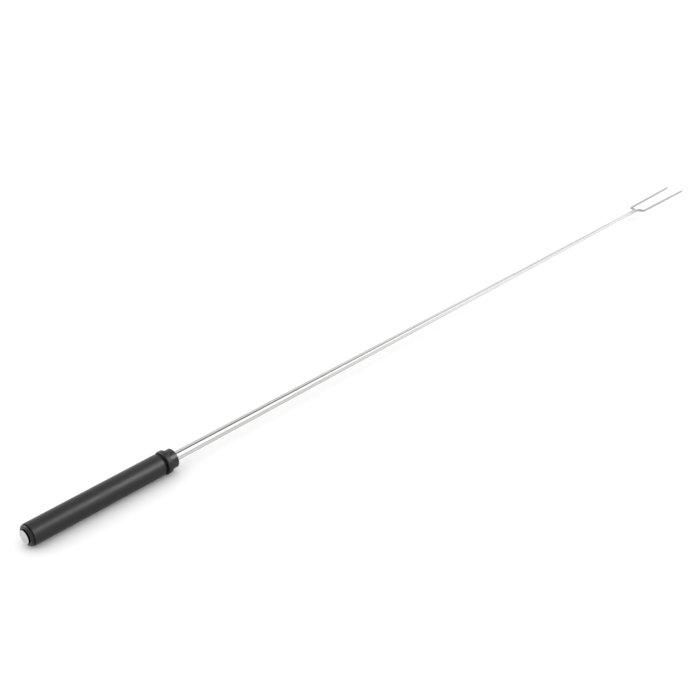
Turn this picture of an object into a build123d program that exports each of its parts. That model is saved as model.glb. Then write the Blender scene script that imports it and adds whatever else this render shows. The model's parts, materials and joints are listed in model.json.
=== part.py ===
from build123d import *
import os
from math import cos, radians, sin, tan

# Roasting fork whose prongs turn with a thumb collar.  Millimetres, +Z up.
# The origin is the centre of the end button's flat rear face.  +X runs along the handle
# towards the prongs, and the two prongs lie side by side in the XY plane.

# ---- driving dimensions -------------------------------------------------------------------

total_length = 1150.0
wire_radius = 1.6

# Radii about the X axis
grip_front_radius = 10.0
grip_rear_radius = 9.65
bore_radius = 8.0
flange_radius = 10.75
nose_radius = 9.05
button_radius = 5.9
spindle_radius = 4.0
journal_radius = 6.7

# Stations along the X axis
cap_rear_x = 1.5
spindle_rear_x = 1.8
cap_rim_front_x = 3.2
grip_rear_x = 4.1
neck_front_x = 10.0
rear_bush_front_x = 22.0
liner_front_x = 113.5
spindle_front_x = 117.5
front_bush_front_x = 129.1
grip_front_x = 130.0
flange_rear_x = 132.8
flange_front_x = 137.4
socket_front_x = 143.5
nose_front_x = 145.0

# Fits
running_clearance = 0.05
face_clearance = 0.05
free_clearance = 0.3
small_edge = 0.4

# Fork
rod_root_spacing = 8.8
rod_pair_gap = 0.06
arm_x = 1018.0
bend_radius = 4.1
prong_base_spacing = 20.6
prong_splay = 0.8

# ---- helpers ------------------------------------------------------------------------------


def add_tube(start, end, outer, inner=0.0):
    """Add a tube about the X axis to the open part, or a solid bar if inner is 0."""
    with BuildSketch(Plane.YZ.offset(start)) as section:
        Circle(outer)
        if inner > 0:
            Circle(inner, mode=Mode.SUBTRACT)
    extrude(section.sketch, amount=end - start)


def cut_bore(start, end, radius):
    """Cut a round bore about the X axis out of the open part."""
    with BuildSketch(Plane.YZ.offset(start)) as section:
        Circle(radius)
    extrude(section.sketch, amount=end - start, mode=Mode.SUBTRACT)


def cross_bar(plane, station, radius, reach, mode=Mode.ADD):
    """Add or cut a round bar across the X axis, normal to a plane, reaching both ways."""
    with BuildSketch(plane) as section:
        with Locations((station, 0)):
            Circle(radius)
    extrude(section.sketch, amount=reach, both=True, mode=mode)


def rims(piece, station, radius):
    """The circular edges that a piece has about the X axis, at one station and radius."""
    tolerance = 0.01
    return piece.edges().filter_by(
        lambda rim: rim.geom_type == GeomType.CIRCLE
        and abs(rim.arc_center.X - station) < tolerance
        and abs(rim.radius - radius) < tolerance
        and abs(rim.arc_center.Y) < tolerance
        and abs(rim.arc_center.Z) < tolerance
    )


def write(piece, name):
    """Name a finished piece and write its file."""
    piece.part.label = name
    export_step(piece.part, f"parts/{name}.step")


os.makedirs("parts", exist_ok=True)

# ---- handle: what the hand holds still -------------------------------------------------------

# Moulded grip: a plain tube that widens slightly towards the prongs
with BuildPart() as grip_sleeve:
    with BuildSketch(Plane.XZ):
        with BuildLine():
            Polyline(
                (grip_rear_x, bore_radius),
                (grip_rear_x, grip_rear_radius),
                (grip_front_x, grip_front_radius),
                (grip_front_x, bore_radius),
                close=True,
            )
        make_face()
    revolve(axis=Axis.X)
    fillet(rims(grip_sleeve, grip_rear_x, grip_rear_radius), radius=small_edge)
    fillet(rims(grip_sleeve, grip_front_x, grip_front_radius), radius=small_edge)
    chamfer(rims(grip_sleeve, grip_front_x, bore_radius), length=small_edge)
write(grip_sleeve, "grip_sleeve")

# Rear cap: a domed rim, a shadow groove, and a hollow neck pressed into the grip
cap_face_radius = 8.77
cap_rim_radius = 9.3
cap_shoulder = 2.3
cap_groove_radius = 8.4
cap_recess_radius = 6.4
cap_recess_floor_x = 2.4
cap_web_front_x = 4.4
with BuildPart() as rear_cap:
    with BuildSketch(Plane.XZ):
        with BuildLine():
            Polyline(
                (cap_rear_x, 0),
                (cap_rear_x, cap_face_radius),
                (cap_rim_front_x, cap_rim_radius),
                (cap_rim_front_x, 0),
                close=True,
            )
        make_face()
    revolve(axis=Axis.X)
    fillet(rims(rear_cap, cap_rear_x, cap_face_radius), radius=cap_shoulder)
    add_tube(cap_rim_front_x, grip_rear_x, cap_groove_radius)
    add_tube(grip_rear_x, neck_front_x, bore_radius)
    chamfer(rims(rear_cap, neck_front_x, bore_radius), length=small_edge)
    cut_bore(cap_rear_x, cap_recess_floor_x, cap_recess_radius)
    cut_bore(cap_recess_floor_x, cap_web_front_x, spindle_radius + free_clearance)
    cut_bore(cap_web_front_x, neck_front_x, cap_recess_radius)
write(rear_cap, "rear_cap")

# Rear bush, which carries the spindle
with BuildPart() as rear_bush:
    add_tube(neck_front_x, rear_bush_front_x, bore_radius, spindle_radius + running_clearance)
    chamfer(rims(rear_bush, rear_bush_front_x, bore_radius), length=small_edge)
    chamfer(rims(rear_bush, rear_bush_front_x, spindle_radius + running_clearance), length=small_edge)
write(rear_bush, "rear_bush")

# Liner tube, which stiffens the grip and keeps the two bushes apart
liner_bore_radius = 7.0
with BuildPart() as liner_tube:
    add_tube(rear_bush_front_x, liner_front_x, bore_radius, liner_bore_radius)
write(liner_tube, "liner_tube")

# Front bush, which carries the journal of the rod socket
with BuildPart() as front_bush:
    add_tube(liner_front_x, front_bush_front_x, bore_radius, journal_radius + running_clearance)
    chamfer(rims(front_bush, liner_front_x, journal_radius + running_clearance), length=small_edge)
write(front_bush, "front_bush")

# ---- spinner: what turns with the thumb collar -----------------------------------------------

# Spindle: a steel bar with a groove for the clip and a cross hole for its pin
clip_groove_x = 5.8
clip_groove_width = 1.1
clip_groove_radius = 3.1
shank_radius = 2.0
shank_front_x = 12.0
spindle_pin_x = 109.0
spindle_pin_radius = 1.0
with BuildPart() as spindle:
    add_tube(spindle_rear_x, spindle_front_x, spindle_radius)
    chamfer(rims(spindle, spindle_front_x, spindle_radius), length=small_edge)
    with BuildSketch(Plane.YZ.offset(clip_groove_x)):
        Circle(spindle_radius)
        Circle(clip_groove_radius, mode=Mode.SUBTRACT)
    extrude(amount=clip_groove_width, mode=Mode.SUBTRACT)
    cut_bore(spindle_rear_x, shank_front_x, shank_radius)
    cross_bar(Plane.XY, spindle_pin_x, spindle_pin_radius, spindle_radius, mode=Mode.SUBTRACT)
write(spindle, "spindle")

# End button: a flat bright disc on a shank that is pressed into the spindle
with BuildPart() as end_button:
    add_tube(0, spindle_rear_x, button_radius)
    fillet(rims(end_button, 0, button_radius), radius=small_edge)
    add_tube(spindle_rear_x, shank_front_x - small_edge, shank_radius)
write(end_button, "end_button")

# Retaining clip: an E-shaped spring plate in the spindle's groove
clip_thickness = 1.0
clip_radius = 6.0
clip_mouth = 5.2
clip_relief_radius = 1.1
clip_relief_angle = 62.0
with BuildPart() as retaining_clip:
    with BuildSketch(Plane.YZ.offset(clip_groove_x + face_clearance)):
        Circle(clip_radius)
        Circle(clip_groove_radius, mode=Mode.SUBTRACT)
        with Locations((0, -clip_radius / 2)):
            Rectangle(clip_mouth, clip_radius, mode=Mode.SUBTRACT)
        for relief_angle in (90 - clip_relief_angle, 90 + clip_relief_angle):
            with PolarLocations(clip_groove_radius + clip_relief_radius / 2, 1, relief_angle):
                Circle(clip_relief_radius, mode=Mode.SUBTRACT)
    extrude(amount=clip_thickness)
write(retaining_clip, "retaining_clip")

# Flat washer between the clip and the disc spring
washer_radius = 6.1
washer_bore_radius = spindle_radius + 0.15
flat_washer_x = clip_groove_x + clip_groove_width
spring_rear_x = flat_washer_x + 0.8
with BuildPart() as rear_flat_washer:
    add_tube(flat_washer_x, spring_rear_x, washer_radius, washer_bore_radius)
write(rear_flat_washer, "rear_flat_washer")

# Rear thrust washer, which slides on the rear bush
thrust_washer_thickness = 0.75
rear_thrust_front_x = neck_front_x - face_clearance
rear_thrust_rear_x = rear_thrust_front_x - thrust_washer_thickness
with BuildPart() as rear_thrust_washer:
    add_tube(rear_thrust_rear_x, rear_thrust_front_x, washer_radius, washer_bore_radius)
write(rear_thrust_washer, "rear_thrust_washer")

# Disc spring: a shallow cone that keeps the two washers lightly loaded
spring_thickness = 0.5
with BuildPart() as disc_spring:
    with BuildSketch(Plane.XZ):
        with BuildLine():
            Polyline(
                (spring_rear_x, washer_bore_radius),
                (spring_rear_x + spring_thickness, washer_bore_radius),
                (rear_thrust_rear_x, washer_radius),
                (rear_thrust_rear_x - spring_thickness, washer_radius),
                close=True,
            )
        make_face()
    revolve(axis=Axis.X)
write(disc_spring, "disc_spring")

# Rod socket: a sleeve for the spindle, then a journal with the two rod sockets in its front
sleeve_radius = 6.2
sleeve_rear_x = 104.0
sleeve_front_x = 112.5
rod_root_x = 118.8
rod_pin_x = 124.0
rod_pin_radius = 0.8
collar_screw_x = 134.7
collar_screw_radius = 1.25
collar_screw_tip_z = -6.0
with BuildPart() as rod_socket:
    add_tube(sleeve_rear_x, sleeve_front_x, sleeve_radius)
    add_tube(sleeve_front_x, socket_front_x, journal_radius)
    chamfer(rims(rod_socket, socket_front_x, journal_radius), length=small_edge)
    cut_bore(sleeve_rear_x, spindle_front_x, spindle_radius)
    with BuildSketch(Plane.YZ.offset(rod_root_x)):
        with GridLocations(rod_root_spacing, 0, 2, 1):
            Circle(wire_radius)
    extrude(amount=socket_front_x - rod_root_x, mode=Mode.SUBTRACT)
    cross_bar(Plane.XZ, rod_pin_x, rod_pin_radius, journal_radius, mode=Mode.SUBTRACT)
    cross_bar(Plane.XY, spindle_pin_x, spindle_pin_radius, sleeve_radius, mode=Mode.SUBTRACT)
    with BuildSketch(Plane.XY.offset(-journal_radius)):
        with Locations((collar_screw_x, 0)):
            Circle(collar_screw_radius)
    extrude(amount=journal_radius + collar_screw_tip_z, mode=Mode.SUBTRACT)
write(rod_socket, "rod_socket")

# Cross pins: one locks the spindle in the sleeve, the other passes through both rods
pin_recess = 0.15
with BuildPart() as spindle_pin:
    cross_bar(Plane.XY, spindle_pin_x, spindle_pin_radius, sleeve_radius - pin_recess)
write(spindle_pin, "spindle_pin")

with BuildPart() as rod_cross_pin:
    cross_bar(Plane.XZ, rod_pin_x, rod_pin_radius, journal_radius - pin_recess)
write(rod_cross_pin, "rod_cross_pin")

# Front thrust washer, inside the mouth of the grip
with BuildPart() as front_thrust_washer:
    add_tube(
        front_bush_front_x + face_clearance,
        front_bush_front_x + face_clearance + thrust_washer_thickness,
        bore_radius - free_clearance,
        journal_radius + running_clearance,
    )
write(front_thrust_washer, "front_thrust_washer")

# Drag ring: a round rubber ring at the foot of the groove between grip and collar
drag_ring_section = 0.65
collar_boss_rear_x = 131.4
drag_ring_x = collar_boss_rear_x - drag_ring_section - face_clearance
drag_ring_orbit = journal_radius + running_clearance + drag_ring_section
with BuildPart() as drag_ring:
    with BuildSketch(Plane.XZ):
        with Locations((drag_ring_x, drag_ring_orbit)):
            Circle(drag_ring_section)
    revolve(axis=Axis.X)
write(drag_ring, "drag_ring")

# Thumb collar: a boss, a flange for the thumb and a fluted nose that closes over the socket
collar_boss_radius = 7.9
flange_rear_chamfer = 0.8
nose_edge = 0.9
rod_exit_radius = wire_radius + 0.1
flute_count = 6
flute_phase = 50.0
flute_radius = 4.0
flute_depth = 0.5
flute_rear_x = 140.3
with BuildPart() as thumb_collar:
    add_tube(collar_boss_rear_x, flange_rear_x, collar_boss_radius)
    add_tube(flange_rear_x, flange_front_x, flange_radius)
    add_tube(flange_front_x, nose_front_x, nose_radius)
    chamfer(rims(thumb_collar, flange_rear_x, flange_radius), length=flange_rear_chamfer)
    fillet(rims(thumb_collar, flange_front_x, flange_radius), radius=small_edge)
    fillet(rims(thumb_collar, flange_front_x, nose_radius), radius=small_edge)
    fillet(rims(thumb_collar, nose_front_x, nose_radius), radius=nose_edge)
    with BuildSketch(Plane.YZ.offset(flute_rear_x)):
        with PolarLocations(nose_radius + flute_radius - flute_depth, flute_count, flute_phase):
            Circle(flute_radius)
    extrude(amount=nose_front_x - flute_rear_x, mode=Mode.SUBTRACT)
    with Locations(Plane.YZ.offset(flute_rear_x)):
        with PolarLocations(nose_radius + flute_radius - flute_depth, flute_count, flute_phase):
            Sphere(flute_radius, mode=Mode.SUBTRACT)
    cut_bore(collar_boss_rear_x, socket_front_x, journal_radius)
    with BuildSketch(Plane.YZ.offset(socket_front_x)):
        with GridLocations(rod_root_spacing, 0, 2, 1):
            Circle(rod_exit_radius)
    extrude(amount=nose_front_x - socket_front_x, mode=Mode.SUBTRACT)
    with BuildSketch(Plane.XY.offset(-flange_radius)):
        with Locations((collar_screw_x, 0)):
            Circle(collar_screw_radius)
    extrude(amount=flange_radius - journal_radius + small_edge, mode=Mode.SUBTRACT)
write(thumb_collar, "thumb_collar")

# Grub screw under the flange, which holds the collar on the socket
grub_screw_head_z = -10.0
grub_hex_radius = 0.75
grub_hex_depth = 1.2
with BuildPart() as collar_grub_screw:
    with BuildSketch(Plane.XY.offset(grub_screw_head_z)):
        with Locations((collar_screw_x, 0)):
            Circle(collar_screw_radius)
    extrude(amount=collar_screw_tip_z - grub_screw_head_z)
    with BuildSketch(Plane.XY.offset(grub_screw_head_z)):
        with Locations((collar_screw_x, 0)):
            RegularPolygon(grub_hex_radius, 6)
    extrude(amount=grub_hex_depth, mode=Mode.SUBTRACT)
write(collar_grub_screw, "collar_grub_screw")

# ---- the two prong rods -----------------------------------------------------------------------

rod_bend_x = nose_front_x + 2.0
pair_start_x = 1006.0
slight_bend_radius = 400.0
tip_taper_length = 7.0
tip_radius = 0.75
rod_pair_y = wire_radius + rod_pair_gap / 2
prong_base_y = prong_base_spacing / 2
splay_slope = tan(radians(prong_splay))
taper_start_x = total_length - tip_taper_length * cos(radians(prong_splay))


def prong_rod(side):
    """One bent wire from the socket to its prong tip, on the side +1 (left) or -1 (right)."""
    taper_start = (taper_start_x, side * (prong_base_y + splay_slope * (taper_start_x - arm_x)))
    with BuildPart() as rod:
        with BuildLine() as route:
            FilletPolyline(
                (rod_root_x, side * rod_root_spacing / 2),
                (rod_bend_x, side * rod_root_spacing / 2),
                (pair_start_x, side * rod_pair_y),
                (arm_x, side * rod_pair_y),
                (arm_x, side * prong_base_y),
                taper_start,
                radius=[slight_bend_radius, slight_bend_radius, bend_radius, bend_radius],
            )
        with BuildSketch(Plane(route.line @ 0, x_dir=(0, 1, 0), z_dir=(1, 0, 0))):
            Circle(wire_radius)
        sweep(path=route.line)
        prong_way = Vector(cos(radians(prong_splay)), side * sin(radians(prong_splay)), 0)
        tip_plane = Plane(taper_start + (0,), x_dir=prong_way, z_dir=(0, 0, 1))
        with BuildSketch(tip_plane):
            with BuildLine():
                Polyline(
                    (tip_taper_length - tip_radius, tip_radius),
                    (0, wire_radius),
                    (0, 0),
                    (tip_taper_length, 0),
                )
                RadiusArc((tip_taper_length, 0), (tip_taper_length - tip_radius, tip_radius), -tip_radius)
            make_face()
        revolve(axis=Axis(taper_start + (0,), prong_way))
        cross_bar(Plane.XZ, rod_pin_x, rod_pin_radius, journal_radius, mode=Mode.SUBTRACT)
    return rod


left_prong_rod = prong_rod(1)
write(left_prong_rod, "left_prong_rod")
right_prong_rod = prong_rod(-1)
write(right_prong_rod, "right_prong_rod")

# Weld: one bead above and one below the wires, in the furrows between them
weld_x = 1010.0
weld_half_length = 6.5
weld_radius = 1.9
weld_root_z = 0.8
with BuildPart() as fork_weld:
    with BuildSketch(Plane.XY):
        with Locations((weld_x, 0)):
            Ellipse(weld_half_length, weld_radius)
        split(bisect_by=Plane.XZ, keep=Keep.BOTTOM)
    revolve(axis=Axis.X)
    with Locations((weld_x, 0, 0)):
        Box(3 * weld_half_length, 3 * weld_radius, 2 * weld_root_z, mode=Mode.SUBTRACT)
    add(left_prong_rod.part, mode=Mode.SUBTRACT)
    add(right_prong_rod.part, mode=Mode.SUBTRACT)
write(fork_weld, "fork_weld")
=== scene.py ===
import json
import math

import bmesh
import bpy
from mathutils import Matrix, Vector


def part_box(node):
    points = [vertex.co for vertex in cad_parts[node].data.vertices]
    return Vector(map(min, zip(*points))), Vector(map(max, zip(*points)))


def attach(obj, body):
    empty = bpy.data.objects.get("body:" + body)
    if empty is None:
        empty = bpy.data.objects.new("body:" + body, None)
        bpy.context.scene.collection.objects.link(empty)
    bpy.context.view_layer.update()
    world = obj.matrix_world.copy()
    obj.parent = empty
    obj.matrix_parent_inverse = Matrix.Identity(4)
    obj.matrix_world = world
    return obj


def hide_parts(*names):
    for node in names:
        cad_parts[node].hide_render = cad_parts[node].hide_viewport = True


# Every length is in metres, in the frame of the CAD model: +X along the handle towards the
# prongs, +Z up, and the origin at the centre of the end button's flat face.
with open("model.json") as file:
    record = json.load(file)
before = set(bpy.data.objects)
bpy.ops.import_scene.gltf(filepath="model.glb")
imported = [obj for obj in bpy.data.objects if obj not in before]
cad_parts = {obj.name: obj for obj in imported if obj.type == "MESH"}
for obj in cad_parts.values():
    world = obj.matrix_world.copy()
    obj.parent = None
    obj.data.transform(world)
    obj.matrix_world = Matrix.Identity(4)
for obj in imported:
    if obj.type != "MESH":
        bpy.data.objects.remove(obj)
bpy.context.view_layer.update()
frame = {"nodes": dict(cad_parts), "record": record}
MM = 0.001

# ---- sizes that follow the frame ------------------------------------------------------------

grip_low, grip_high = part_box("grip_sleeve")
cap_low, cap_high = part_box("rear_cap")
button_low, button_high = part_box("end_button")
collar_low, collar_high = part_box("thumb_collar")
screw_low, screw_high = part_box("collar_grub_screw")
socket_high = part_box("rod_socket")[1]
rod_low, rod_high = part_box("left_prong_rod")
weld_low, weld_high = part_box("fork_weld")

bore_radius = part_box("liner_tube")[1].z
spindle_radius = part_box("spindle")[1].z
journal_radius = socket_high.z
flange_radius = collar_high.z
wire_radius = rod_high.z
screw_x = (screw_low.x + screw_high.x) / 2
screw_radius = screw_high.y

# Sizes inside those boxes, as the CAD model has them
small_edge = 0.4 * MM
grip_rear_radius = 9.65 * MM
cap_face_radius = 8.77 * MM
cap_rim_front_x = 3.2 * MM
cap_rim_radius = cap_high.z
cap_groove_radius = 8.4 * MM
cap_shoulder = 2.3 * MM
cap_recess_radius = 6.4 * MM
cap_recess_floor_x = 2.4 * MM
cap_web_front_x = 4.4 * MM
cap_hole_radius = spindle_radius + 0.3 * MM
button_back_x = 1.8 * MM
button_shank_radius = 2.0 * MM
collar_boss_radius = 7.9 * MM
flange_rear_x = 132.8 * MM
flange_front_x = 137.4 * MM
flange_chamfer = 0.8 * MM
nose_radius = 9.05 * MM
nose_edge = 0.9 * MM
flute_count = 6
flute_phase = math.radians(50)
flute_radius = 4.0 * MM
flute_depth = 0.5 * MM
flute_rear_x = 140.3 * MM
nose_face_radius = nose_radius - 1.2 * nose_edge
rod_exit_radius = wire_radius + 0.1 * MM
rod_root_y = 4.4 * MM
rod_bend_x = 147.0 * MM
rod_pair_y = 1.63 * MM
pair_start_x = 1006.0 * MM
slight_bend_radius = 400.0 * MM
arm_x = 1018.0 * MM
bend_radius = 4.1 * MM
prong_base_y = 10.3 * MM
prong_splay = math.radians(0.8)
tip_taper = 7.0 * MM
tip_radius = 0.75 * MM
weld_root_z = 0.8 * MM

# Places along a wire, from its root, where its painted light and shade change: painted shade near the
# root and on the prongs, painted light in between, and a painted shade line on the left wire that
# fades out
root_painted_shade_end = 0.2
middle_painted_light_start = 0.5
middle_painted_light_end = 0.86
prong_painted_shade_start = 0.9
painted_shade_line_whole = 0.12
painted_shade_line_end = 0.42

# ---- mesh helpers ---------------------------------------------------------------------------

TURN_STEPS = 144
WIRE_STEPS = 32
SUPPORT = 0.08 * MM
SLIVER = 0.003 * MM
SHARP_ANGLE = math.radians(38)


def new_piece(name, verts, faces, way=None):
    """A smooth-shaded mesh piece. way gives each point's place along and across a wire."""
    mesh = bpy.data.meshes.new(name)
    mesh.from_pydata([tuple(point) for point in verts], [], faces)
    if way:
        layer = mesh.attributes.new("wire_way", "FLOAT_VECTOR", "POINT")
        layer.data.foreach_set("vector", [value for point in way for value in point])
    shape = bmesh.new()
    shape.from_mesh(mesh)
    bmesh.ops.remove_doubles(shape, verts=shape.verts, dist=1e-7)
    bmesh.ops.recalc_face_normals(shape, faces=shape.faces)
    shape.to_mesh(mesh)
    shape.free()
    mesh.shade_smooth()
    mesh.set_sharp_from_angle(angle=SHARP_ANGLE)
    piece = bpy.data.objects.new(name, mesh)
    bpy.context.scene.collection.objects.link(piece)
    return piece


def rounded(corners, closed, arc_step):
    """An outline's points, from corners (x, y, rounding): a rounded corner becomes an arc."""
    points = []
    for i, (x, y, rounding) in enumerate(corners):
        corner = Vector((x, y))
        if rounding <= 0:
            points.append(corner)
            continue
        back = (Vector(corners[i - 1][:2]) - corner).normalized()
        ahead = (Vector(corners[(i + 1) % len(corners)][:2]) - corner).normalized()
        half = back.angle(ahead) / 2
        centre = corner + (back + ahead).normalized() * rounding / math.sin(half)
        reach = rounding / math.tan(half)
        first = corner + back * reach - centre
        last = corner + ahead * reach - centre
        start = math.atan2(first.y, first.x)
        sweep = (math.atan2(last.y, last.x) - start + math.pi) % (2 * math.pi) - math.pi
        steps = max(2, math.ceil(abs(sweep) / arc_step))
        for k in range(steps + 1):
            angle = start + sweep * k / steps
            points.append(centre + Vector((math.cos(angle), math.sin(angle))) * rounding)
    return points


def supported(points, closed, longest):
    """The same outline, with supporting points close to the ends of its long runs."""
    out = []
    runs = len(points) if closed else len(points) - 1
    for i in range(runs):
        start = points[i]
        way = points[(i + 1) % len(points)] - start
        out.append(start)
        if way.length > 6 * SUPPORT:
            inner = way.length - 2 * SUPPORT
            pieces = math.ceil(inner / longest)
            way.normalize()
            out += [start + way * (SUPPORT + inner * k / pieces) for k in range(pieces + 1)]
    if not closed:
        out.append(points[-1])
    return out


def ring_faces(rings, steps, closed):
    """Quads between rings of points that follow each other."""
    faces = []
    for i in range(rings if closed else rings - 1):
        j = (i + 1) % rings
        for k in range(steps):
            m = (k + 1) % steps
            faces.append((i * steps + k, i * steps + m, j * steps + m, j * steps + k))
    return faces


def turned(name, corners, closed=True, longest=4 * MM, steps=TURN_STEPS, radius_at=None):
    """A solid of revolution about X, from its outline's corners (x, radius, rounding)."""
    outline = supported(rounded(corners, closed, math.radians(10)), closed, longest)
    verts = []
    for x, radius in outline:
        for k in range(steps):
            angle = 2 * math.pi * k / steps
            r = radius_at(x, radius, angle) if radius_at else radius
            verts.append((x, r * math.cos(angle), r * math.sin(angle)))
    return new_piece(name, verts, ring_faces(len(outline), steps, closed))


def drill(name, outline, place):
    """A cutter turned from (depth, radius) pairs; place(depth, a, b) puts its points."""
    steps = 48
    verts = []
    for depth, radius in outline:
        for k in range(steps):
            angle = 2 * math.pi * k / steps
            verts.append(place(depth, radius * math.cos(angle), radius * math.sin(angle)))
    ends = [tuple(range(steps)), tuple(range((len(outline) - 1) * steps, len(outline) * steps))]
    return new_piece(name, verts, ring_faces(len(outline), steps, False) + ends)


def clear_slivers(mesh):
    """Join points that a cut leaves almost together, and split its many-sided faces evenly."""
    shape = bmesh.new()
    shape.from_mesh(mesh)
    bmesh.ops.remove_doubles(shape, verts=shape.verts, dist=SLIVER)
    bmesh.ops.dissolve_degenerate(shape, edges=shape.edges, dist=SLIVER)
    many_sided = [face for face in shape.faces if len(face.verts) > 4]
    bmesh.ops.triangulate(shape, faces=many_sided, ngon_method="BEAUTY")
    shape.to_mesh(mesh)
    shape.free()


def cut(piece, cutters):
    """Cut the cutters out of a piece and delete them."""
    for cutter in cutters:
        modifier = piece.modifiers.new("cut", "BOOLEAN")
        modifier.operation = "DIFFERENCE"
        modifier.solver = "EXACT"
        modifier.object = cutter
    graph = bpy.context.evaluated_depsgraph_get()
    result = bpy.data.meshes.new_from_object(piece.evaluated_get(graph))
    piece.modifiers.clear()
    piece.data = result
    clear_slivers(result)
    result.shade_smooth()
    result.set_sharp_from_angle(angle=SHARP_ANGLE)
    for cutter in cutters:
        bpy.data.objects.remove(cutter)


# ---- material helpers -----------------------------------------------------------------------


class Finish:
    """A procedural material: a Principled shader, and short calls for the nodes before it."""

    def __init__(self, name, roughness, metallic=0.0, specular=0.5):
        self.material = bpy.data.materials.new(name)
        self.material.use_nodes = True
        self.tree = self.material.node_tree
        self.shader = self.tree.nodes["Principled BSDF"]
        self.shader.inputs["Roughness"].default_value = roughness
        self.shader.inputs["Metallic"].default_value = metallic
        self.shader.inputs["Specular IOR Level"].default_value = specular
        self.place = self.node("TexCoord").outputs["Object"]

    def node(self, kind):
        return self.tree.nodes.new("ShaderNode" + kind)

    def link(self, source, target):
        self.tree.links.new(source, target)

    def wire_way(self):
        """Use places along and across a wire instead of places in the frame."""
        attribute = self.node("Attribute")
        attribute.attribute_name = "wire_way"
        self.place = attribute.outputs["Vector"]

    def noise(self, sizes, detail=3.0, roughness=0.55):
        """Noise whose features are about so large along X, Y and Z, in metres."""
        mapping = self.node("Mapping")
        mapping.inputs["Scale"].default_value = [1 / size for size in sizes]
        self.link(self.place, mapping.inputs["Vector"])
        noise = self.node("TexNoise")
        noise.inputs["Scale"].default_value = 1.0
        noise.inputs["Detail"].default_value = detail
        noise.inputs["Roughness"].default_value = roughness
        self.link(mapping.outputs["Vector"], noise.inputs["Vector"])
        return noise.outputs["Fac"]

    def calc(self, operation, *values):
        node = self.node("Math")
        node.operation = operation
        for socket, value in zip(node.inputs, values):
            if isinstance(value, float):
                socket.default_value = value
            else:
                self.link(value, socket)
        return node.outputs["Value"]

    def span(self, source, low, high, start, end):
        """The source's values from low to high, spread from start to end."""
        node = self.node("MapRange")
        node.inputs["From Min"].default_value = low
        node.inputs["From Max"].default_value = high
        node.inputs["To Min"].default_value = start
        node.inputs["To Max"].default_value = end
        self.link(source, node.inputs["Value"])
        return node.outputs["Result"]

    def mix(self, factor, first, second):
        node = self.node("Mix")
        node.data_type = "RGBA"
        self.link(factor, node.inputs["Factor"])
        for name, value in (("A", first), ("B", second)):
            socket = next(s for s in node.inputs if s.name == name and s.type == "RGBA")
            if isinstance(value, tuple):
                socket.default_value = (*value, 1.0)
            else:
                self.link(value, socket)
        return next(s for s in node.outputs if s.type == "RGBA")

    def shade(self, factor, colour, share):
        """The colour, down to so much of itself where the factor is 1."""
        node = self.node("Mix")
        node.data_type = "RGBA"
        node.blend_type = "MULTIPLY"
        self.link(factor, node.inputs["Factor"])
        sockets = {s.name: s for s in node.inputs if s.type == "RGBA"}
        sockets["B"].default_value = (share, share, share, 1.0)
        if isinstance(colour, tuple):
            sockets["A"].default_value = (*colour, 1.0)
        else:
            self.link(colour, sockets["A"])
        return next(s for s in node.outputs if s.type == "RGBA")

    def worn_edges(self):
        """0 on flat faces, up to 1 on convex edges."""
        geometry = self.node("NewGeometry")
        return self.span(geometry.outputs["Pointiness"], 0.52, 0.6, 0.0, 1.0)

    def along(self):
        """The place along X, or along a wire, in metres."""
        split = self.node("SeparateXYZ")
        self.link(self.place, split.inputs["Vector"])
        return split.outputs["X"]

    def axis_distance(self, y=0.0, z=0.0):
        """Distance from the handle's axis, or from the line beside it through y and z, in metres."""
        split = self.node("SeparateXYZ")
        self.link(self.place, split.inputs["Vector"])
        across = self.calc("SUBTRACT", split.outputs["Y"], y)
        up = self.calc("SUBTRACT", split.outputs["Z"], z)
        squares = [self.calc("MULTIPLY", part, part) for part in (across, up)]
        return self.calc("SQRT", self.calc("ADD", *squares))

    def colour(self, source):
        self.link(source, self.shader.inputs["Base Color"])

    def roughness(self, source):
        self.link(source, self.shader.inputs["Roughness"])

    def bump(self, height, distance):
        node = self.node("Bump")
        node.inputs["Distance"].default_value = distance
        self.link(height, node.inputs["Height"])
        self.link(node.outputs["Normal"], self.shader.inputs["Normal"])


def scaled(colour, share):
    return tuple(share * part for part in colour)


def moulded_plastic(name, colour, roughness, grain, specular=0.5, polished_x=None):
    """Satin plastic: fine grain, faint mottling, paler edges. Beyond polished_x it is glossier."""
    finish = Finish(name, roughness, specular=specular)
    mottle = finish.noise((11 * MM, 4 * MM, 4 * MM), detail=4.0)
    fine = finish.noise((grain, grain, grain), detail=2.0, roughness=0.6)
    base = finish.mix(finish.span(mottle, 0.35, 0.65, 0.0, 1.0), scaled(colour, 0.88), colour)
    finish.colour(finish.mix(finish.worn_edges(), base, scaled(colour, 1.7)))
    satin = finish.span(mottle, 0.3, 0.7, roughness - 0.035, roughness + 0.045)
    if polished_x is not None:
        blend = 0.3 * MM
        polish = finish.span(finish.along(), polished_x - blend, polished_x + blend, 1.0, 0.55)
        satin = finish.calc("MULTIPLY", satin, polish)
    finish.roughness(satin)
    finish.bump(fine, 0.02 * MM)
    return finish.material


def lined_metal(name, colour, roughness, line_sizes, depth):
    """Drawn or ground metal: fine lines in one direction, and a faint cloudiness."""
    finish = Finish(name, roughness, metallic=1.0)
    line_detail(finish, colour, roughness, line_sizes, depth)
    return finish.material


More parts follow.
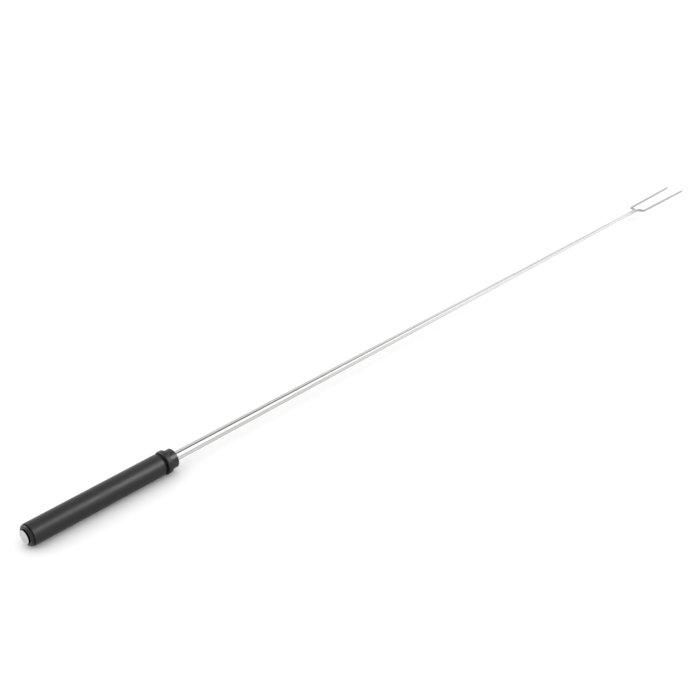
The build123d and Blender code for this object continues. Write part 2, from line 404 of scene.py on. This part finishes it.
def prong_wire_metal(name, root, middle, prong, roughness, line_sizes, depth):
    """Drawn wire: fine lines, painted light and shade along it, and a painted shade line on the left
    wire's near side.
    """
    finish = Finish(name, roughness, metallic=1.0)
    finish.wire_way()
    # Painted light and shade along the wire: darker at the root, lighter in the middle, darker again
    # on the prongs.
    to_middle = finish.span(finish.along(), root_painted_shade_end, middle_painted_light_start, 0.0, 1.0)
    to_prong = finish.span(finish.along(), middle_painted_light_end, prong_painted_shade_start, 0.0, 1.0)
    colour = finish.mix(to_prong, finish.mix(to_middle, root, middle), prong)
    # Painted shade: a dark line down the left wire's near, lower flank, full near the root and fading
    # out along the wire.
    off_line = finish.axis_distance(rod_root_y - wire_radius, -0.2 * wire_radius)
    line = finish.span(off_line, 0.4 * wire_radius, 0.7 * wire_radius, 1.0, 0.0)
    fading = finish.span(finish.along(), painted_shade_line_whole, painted_shade_line_end, 1.0, 0.0)
    painted_shade_share = 0.3
    colour = finish.shade(finish.calc("MULTIPLY", line, fading), colour, painted_shade_share)
    line_detail(finish, colour, roughness, line_sizes, depth)
    return finish.material


def line_detail(finish, colour, roughness, line_sizes, depth):
    """Fine lines and a faint cloudiness in the tone, the roughness and the relief."""
    lines = finish.noise(line_sizes, detail=4.0, roughness=0.65)
    cloud = finish.noise((30 * MM, 3 * MM, 3 * MM), detail=2.0)
    tone = finish.calc("MULTIPLY", finish.span(lines, 0.3, 0.7, 0.0, 1.0), cloud)
    finish.colour(finish.shade(tone, colour, 0.72))
    finish.roughness(finish.span(lines, 0.3, 0.7, roughness - 0.05, roughness + 0.07))
    finish.bump(lines, depth)


def turned_metal(name, colour, roughness, pitch, depth, bright_x=None):
    """Turned metal: fine rings about the handle's axis. Beyond bright_x it is blackened."""
    finish = Finish(name, roughness, metallic=1.0)
    rings = finish.node("TexNoise")
    rings.noise_dimensions = "1D"
    rings.inputs["Scale"].default_value = 1 / pitch
    rings.inputs["Detail"].default_value = 3.0
    finish.link(finish.axis_distance(), rings.inputs["W"])
    cloud = finish.noise((5 * MM, 5 * MM, 5 * MM))
    tone = finish.calc("MULTIPLY", rings.outputs["Fac"], cloud)
    bright = finish.mix(finish.span(tone, 0.1, 0.45, 0.0, 1.0), colour, scaled(colour, 0.86))
    if bright_x is None:
        finish.colour(bright)
    else:
        blend = 0.05 * MM
        edge = finish.span(finish.along(), bright_x - blend, bright_x + blend, 0.0, 1.0)
        finish.colour(finish.mix(edge, bright, scaled(colour, 0.02)))
    finish.roughness(finish.span(rings.outputs["Fac"], 0.3, 0.7, roughness - 0.05, roughness + 0.08))
    finish.bump(rings.outputs["Fac"], depth)
    return finish.material


def black_rubber(name, colour, roughness):
    """Smooth rubber with a dusty bloom."""
    finish = Finish(name, roughness, specular=0.3)
    bloom = finish.noise((2 * MM, 2 * MM, 2 * MM), detail=5.0)
    finish.colour(finish.mix(finish.span(bloom, 0.45, 0.75, 0.0, 1.0), colour, scaled(colour, 2.5)))
    finish.roughness(finish.span(bloom, 0.3, 0.7, roughness - 0.05, roughness + 0.1))
    finish.bump(bloom, 0.01 * MM)
    return finish.material


# ---- materials, one for each slot of the record ---------------------------------------------

charcoal = (0.007, 0.007, 0.0073)
near_black = (0.006, 0.006, 0.0058)
moulded_grain = 0.24 * MM
plastic_specular = 0.265
polished_x = flute_rear_x - flute_radius / 2
bright_face_x = 0.3 * MM
bar_lines = (12 * MM, 0.3 * MM, 0.3 * MM)
wire_lines = (35 * MM, 0.22 * MM, 0.22 * MM)
stamped_grain = (1.2 * MM, 1.2 * MM, 1.2 * MM)

finishes = {
    "grip_plastic": moulded_plastic("grip_plastic", charcoal, 0.4, moulded_grain, plastic_specular),
    "cap_plastic": moulded_plastic("cap_plastic", near_black, 0.34, moulded_grain, plastic_specular),
    "collar_plastic": moulded_plastic(
        "collar_plastic", charcoal, 0.46, moulded_grain, plastic_specular, polished_x
    ),
    "bush_acetal": moulded_plastic("bush_acetal", (0.80, 0.79, 0.74), 0.34, 0.4 * MM),
    "washer_acetal": moulded_plastic("washer_acetal", (0.02, 0.02, 0.02), 0.4, 0.35 * MM),
    "liner_aluminium": lined_metal("liner_aluminium", (0.80, 0.81, 0.82), 0.3, bar_lines, 0.004 * MM),
    "spindle_steel": lined_metal("spindle_steel", (0.62, 0.62, 0.62), 0.24, bar_lines, 0.003 * MM),
    "socket_steel": turned_metal("socket_steel", (0.58, 0.58, 0.58), 0.3, 0.45 * MM, 0.006 * MM),
    "spring_steel": lined_metal("spring_steel", (0.30, 0.30, 0.31), 0.33, stamped_grain, 0.005 * MM),
    "rod_stainless": prong_wire_metal(
        "rod_stainless",
        # Painted light and shade: root, middle and prong are one steel, painted darker, lighter and
        # darker along the wire.
        root=(0.50, 0.50, 0.496),
        middle=(0.63, 0.63, 0.625),
        prong=(0.36, 0.36, 0.357),
        roughness=0.12,
        line_sizes=wire_lines,
        depth=0.003 * MM,
    ),
    "weld_stainless": lined_metal(
        "weld_stainless", (0.36, 0.345, 0.325), 0.36, stamped_grain, 0.02 * MM
    ),
    "button_metal": turned_metal(
        "button_metal", (0.55, 0.55, 0.545), 0.26, 0.22 * MM, 0.004 * MM, bright_face_x
    ),
    "drag_rubber": black_rubber("drag_rubber", (0.012, 0.012, 0.012), 0.55),
}

node_slots = {part["node"]: part["material_slot"] for part in frame["record"]["subparts"]}
node_bodies = {
    node: body for body, nodes in frame["record"]["behaviour"]["bodies"].items() for node in nodes
}

for node, cad_piece in frame["nodes"].items():
    for material_slot in cad_piece.material_slots:
        material_slot.material = finishes[node_slots[node]]


def stand_in(piece, node):
    """The piece takes a CAD node's place, with that node's body, slot and finish."""
    piece.data.materials.clear()
    piece.data.materials.append(finishes[node_slots[node]])
    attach(piece, node_bodies[node])
    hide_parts(node)


# ---- grip -----------------------------------------------------------------------------------

grip = turned(
    "grip_tube",
    [
        (grip_low.x, bore_radius, 0),
        (grip_low.x, grip_rear_radius, small_edge),
        (grip_high.x, grip_high.z, small_edge),
        (grip_high.x, bore_radius + small_edge, 0),
        (grip_high.x - small_edge, bore_radius, 0),
    ],
)
stand_in(grip, "grip_sleeve")

# ---- rear cap -------------------------------------------------------------------------------

cap_lip = 0.25 * MM
cap_corner = 0.12 * MM
cap = turned(
    "rear_cap_moulding",
    [
        (cap_low.x, cap_recess_radius, cap_lip),
        (cap_low.x, cap_face_radius, cap_shoulder),
        (cap_rim_front_x, cap_rim_radius, cap_corner),
        (cap_rim_front_x, cap_groove_radius, cap_corner),
        (grip_low.x, cap_groove_radius, 0),
        (grip_low.x, bore_radius, 0),
        (cap_high.x, bore_radius, small_edge),
        (cap_high.x, cap_recess_radius, 0),
        (cap_web_front_x, cap_recess_radius, small_edge),
        (cap_web_front_x, cap_hole_radius, 0),
        (cap_recess_floor_x, cap_hole_radius, 0),
        (cap_recess_floor_x, cap_recess_radius, cap_lip),
    ],
    longest=1.5 * MM,
)
stand_in(cap, "rear_cap")

# ---- end button -----------------------------------------------------------------------------

button_dish = 0.05 * MM
button_dish_radius = 4.8 * MM
button_dish_edge = 1.5 * MM
button = turned(
    "end_button_disc",
    [
        (button_low.x + button_dish, 0, 0),
        (button_low.x, button_dish_radius, button_dish_edge),
        (button_low.x, button_high.z, small_edge),
        (button_back_x, button_high.z, cap_corner),
        (button_back_x, button_shank_radius, cap_corner),
        (button_high.x, button_shank_radius, small_edge),
        (button_high.x, 0, 0),
    ],
    closed=False,
    longest=0.6 * MM,
)
stand_in(button, "end_button")

# ---- thumb collar ---------------------------------------------------------------------------

collar_steps = 288
collar_corner = 0.15 * MM
flute_ease = 0.06 * MM
flute_orbit = nose_radius + flute_radius - flute_depth


def fluted(x, radius, angle):
    """The collar's radius, less where a round-ended flute runs along the nose."""
    if x < flange_front_x + small_edge or radius < nose_face_radius:
        return radius
    pitch = 2 * math.pi / flute_count
    off = (angle - flute_phase + pitch / 2) % pitch - pitch / 2
    behind = max(0.0, flute_rear_x - x)
    inside = flute_radius**2 - behind**2 - (flute_orbit * math.sin(off)) ** 2
    if inside <= 0:
        return radius
    depth = radius - (flute_orbit * math.cos(off) - math.sqrt(inside))
    return radius - (depth + math.hypot(depth, flute_ease)) / 2


collar = turned(
    "collar_moulding",
    [
        (collar_high.x, 0, 0),
        (collar_high.x, nose_radius, nose_edge),
        (flange_front_x, nose_radius, small_edge),
        (flange_front_x, flange_radius, small_edge),
        (flange_rear_x + flange_chamfer, flange_radius, small_edge),
        (flange_rear_x, flange_radius - flange_chamfer, collar_corner),
        (flange_rear_x, collar_boss_radius, collar_corner),
        (collar_low.x, collar_boss_radius, collar_corner),
        (collar_low.x, journal_radius, 0),
        (socket_high.x, journal_radius, 0),
        (socket_high.x, 0, 0),
    ],
    closed=False,
    longest=0.5 * MM,
    steps=collar_steps,
    radius_at=fluted,
)

hole_lip = 0.25 * MM
rod_hole = [
    (socket_high.x - small_edge, rod_exit_radius),
    (collar_high.x - hole_lip, rod_exit_radius),
    (collar_high.x + hole_lip, rod_exit_radius + 2 * hole_lip),
]
screw_hole = [
    (journal_radius - small_edge, screw_radius),
    (flange_radius - hole_lip, screw_radius),
    (flange_radius + hole_lip, screw_radius + 2 * hole_lip),
]
cut(
    collar,
    [
        drill("left_hole", rod_hole, lambda depth, a, b: (depth, rod_root_y + a, b)),
        drill("right_hole", rod_hole, lambda depth, a, b: (depth, -rod_root_y + a, b)),
        drill("screw_hole", screw_hole, lambda depth, a, b: (screw_x + a, b, -depth)),
    ],
)
stand_in(collar, "thumb_collar")

# ---- prong rods -----------------------------------------------------------------------------


def prong_wire(name, side):
    """One bent wire: a circle swept along its route in the XY plane, tapered to a blunt tip."""
    prong_way = Vector((math.cos(prong_splay), side * math.sin(prong_splay)))
    taper_x = rod_high.x - tip_taper * prong_way.x
    taper_y = side * (prong_base_y + math.tan(prong_splay) * (taper_x - arm_x))
    taper_start = Vector((taper_x, taper_y))
    corners = [
        (rod_low.x, side * rod_root_y, 0),
        (rod_bend_x, side * rod_root_y, slight_bend_radius),
        (pair_start_x, side * rod_pair_y, slight_bend_radius),
        (arm_x, side * rod_pair_y, bend_radius),
        (arm_x, side * prong_base_y, bend_radius),
        (taper_x, taper_y, 0),
    ]
    centres = supported(rounded(corners, False, math.radians(5)), False, 20 * MM)
    radii = [wire_radius] * len(centres)
    cone = tip_taper - tip_radius
    cone_steps = 4
    for k in range(1, cone_steps + 1):
        step = k / cone_steps
        centres.append(taper_start + prong_way * cone * step)
        radii.append(wire_radius + (tip_radius - wire_radius) * step)
    dome_steps = 6
    for k in range(1, dome_steps + 1):
        angle = math.pi / 2 * k / dome_steps
        centres.append(taper_start + prong_way * (cone + tip_radius * math.sin(angle)))
        radii.append(tip_radius * math.cos(angle))
    verts = []
    way = []
    travelled = 0.0
    for i, (centre, radius) in enumerate(zip(centres, radii)):
        before = centres[max(i - 1, 0)]
        after = centres[min(i + 1, len(centres) - 1)]
        tangent = (after - before).normalized()
        travelled += (centre - before).length
        for k in range(WIRE_STEPS):
            angle = 2 * math.pi * k / WIRE_STEPS
            aside = radius * math.cos(angle)
            up = radius * math.sin(angle)
            verts.append((centre.x - tangent.y * aside, centre.y + tangent.x * aside, up))
            way.append((travelled, aside + side * rod_root_y, up))
    root = tuple(range(WIRE_STEPS))
    return new_piece(name, verts, ring_faces(len(centres), WIRE_STEPS, False) + [root], way)


stand_in(prong_wire("left_prong_wire", 1), "left_prong_rod")
stand_in(prong_wire("right_prong_wire", -1), "right_prong_rod")

# ---- weld -----------------------------------------------------------------------------------


def weld_beads(name):
    """A rippled bead in the furrow above the wires, and the same below them."""
    rings = 60
    steps = 28
    ripple_pitch = 1.05 * MM
    ripple_share = 0.07
    crescent = 0.5 * MM
    root_share = 0.4
    middle = (weld_low.x + weld_high.x) / 2
    half_length = (weld_high.x - weld_low.x) / 2
    height = weld_high.z - weld_root_z
    verts = []
    faces = []
    for above in (1, -1):
        start = len(verts)
        for i in range(rings + 1):
            t = -math.cos(math.pi * i / rings)
            share = math.sqrt(max(0.0, 1 - t * t))
            for k in range(steps):
                angle = 2 * math.pi * k / steps
                behind = half_length * t + crescent * abs(math.cos(angle))
                ripple = 1 - ripple_share * (1 + math.cos(2 * math.pi * behind / ripple_pitch)) / 2
                lift = height * share * ripple * math.sin(angle)
                if lift < 0:
                    lift *= root_share
                across = weld_high.y * share * ripple * math.cos(angle)
                verts.append((middle + half_length * t, across, above * (weld_root_z + lift)))
        bead = ring_faces(rings + 1, steps, False)
        faces += [tuple(start + corner for corner in face) for face in bead]
    return new_piece(name, verts, faces)


stand_in(weld_beads("weld_beads"), "fork_weld")

# ---- floor ----------------------------------------------------------------------------------

# The floor meets the collar's flange and stays just under the prongs all the way round.
floor_reach = 15.0
floor_gap = 0.05 * MM
flange_x = (flange_rear_x + flange_front_x) / 2
floor_slope = (rod_high.y - flange_radius) / (rod_high.x - flange_x)


def floor_z(x):
    return -flange_radius - floor_gap - floor_slope * (x - flange_x)


def pale_floor():
    """A plain pale sheet with a very faint unevenness of tone."""
    sides = (-floor_reach, floor_reach)
    verts = [(x, y, floor_z(x)) for x in sides for y in sides]
    floor = new_piece("floor", verts, [(0, 2, 3, 1)])
    finish = Finish("floor_paper", 0.75, specular=0.25)
    tone = finish.noise((0.4, 0.4, 0.4))
    paper = (0.93, 0.93, 0.93)
    paper_shade = (0.90, 0.90, 0.90)
    finish.colour(finish.mix(tone, paper_shade, paper))
    floor.data.materials.append(finish.material)


pale_floor()

# ---- light ----------------------------------------------------------------------------------


def softbox(name, direction, distance, width, height, power):
    """A soft area light that faces the middle of the handle from a direction."""
    light = bpy.data.lights.new(name, "AREA")
    light.shape = "RECTANGLE"
    light.size = width
    light.size_y = height
    light.energy = power
    lamp = bpy.data.objects.new(name, light)
    bpy.context.scene.collection.objects.link(lamp)
    away = Vector(direction).normalized()
    lamp.location = Vector((grip_high.x / 2, 0, 0)) + away * distance
    lamp.rotation_mode = "QUATERNION"
    lamp.rotation_quaternion = away.to_track_quat("Z", "Y")
    return lamp


def light_only(lamp, pieces):
    """Keep a lamp off everything but these pieces."""
    lit = bpy.data.collections.new("lit_by_" + lamp.name)
    for piece in pieces:
        lit.objects.link(piece)
    lamp.light_linking.receiver_collection = lit


grip_softbox = softbox(
    "grip_softbox", (0.62, -0.62, 0.62), distance=2.0, width=1.3, height=1.0, power=40.0
)
light_only(grip_softbox, (grip, cap, collar))
rear_softbox = softbox(
    "rear_softbox", (-0.45, 0.68, 0.48), distance=2.0, width=1.2, height=1.2, power=24.0
)
light_only(rear_softbox, (cap, collar))


def white_tent():
    """A white dome all round, dimmer overhead and in an opening low behind the handle."""
    side_strength = 1.7
    overhead_strength = 1.11
    opening_way = (-0.93, -0.27, 0.22)
    opening_share = 0.6
    opening_rim = 0.7
    opening_core = 0.95
    world = bpy.data.worlds.new("white_tent")
    world.use_nodes = True
    tree = world.node_tree
    place = tree.nodes.new("ShaderNodeTexCoord").outputs["Generated"]
    split = tree.nodes.new("ShaderNodeSeparateXYZ")
    height = tree.nodes.new("ShaderNodeMapRange")
    height.inputs["To Min"].default_value = side_strength
    height.inputs["To Max"].default_value = overhead_strength
    behind = tree.nodes.new("ShaderNodeVectorMath")
    behind.operation = "DOT_PRODUCT"
    behind.inputs[1].default_value = Vector(opening_way).normalized()
    opening = tree.nodes.new("ShaderNodeMapRange")
    opening.interpolation_type = "SMOOTHSTEP"
    opening.inputs["From Min"].default_value = opening_rim
    opening.inputs["From Max"].default_value = opening_core
    opening.inputs["To Min"].default_value = 1.0
    opening.inputs["To Max"].default_value = opening_share
    strength = tree.nodes.new("ShaderNodeMath")
    strength.operation = "MULTIPLY"
    background = tree.nodes["Background"]
    background.inputs["Color"].default_value = (1.0, 1.0, 1.0, 1.0)
    tree.links.new(place, split.inputs["Vector"])
    tree.links.new(place, behind.inputs[0])
    tree.links.new(behind.outputs["Value"], opening.inputs["Value"])
    tree.links.new(split.outputs["Z"], height.inputs["Value"])
    tree.links.new(height.outputs["Result"], strength.inputs[0])
    tree.links.new(opening.outputs["Result"], strength.inputs[1])
    tree.links.new(strength.outputs["Value"], background.inputs["Strength"])
    bpy.context.scene.world = world


white_tent()
bpy.context.scene.view_settings.view_transform = "Standard"

# ---- camera ---------------------------------------------------------------------------------

camera_azimuth = math.radians(-48.7)
camera_elevation = math.radians(27.25)
camera_distance = 1.0046
camera_aim = Vector((0.3980, 0.0184, 0.0006))
camera_lens = 49.1

camera_data = bpy.data.cameras.new("camera")
camera_data.lens = camera_lens
camera = bpy.data.objects.new("camera", camera_data)
bpy.context.scene.collection.objects.link(camera)
towards_camera = Vector(
    (
        math.sin(camera_azimuth) * math.cos(camera_elevation),
        -math.cos(camera_azimuth) * math.cos(camera_elevation),
        math.sin(camera_elevation),
    )
)
camera.location = camera_aim + towards_camera * camera_distance
camera.rotation_mode = "QUATERNION"
camera.rotation_quaternion = towards_camera.to_track_quat("Z", "Y")
bpy.context.scene.camera = camera
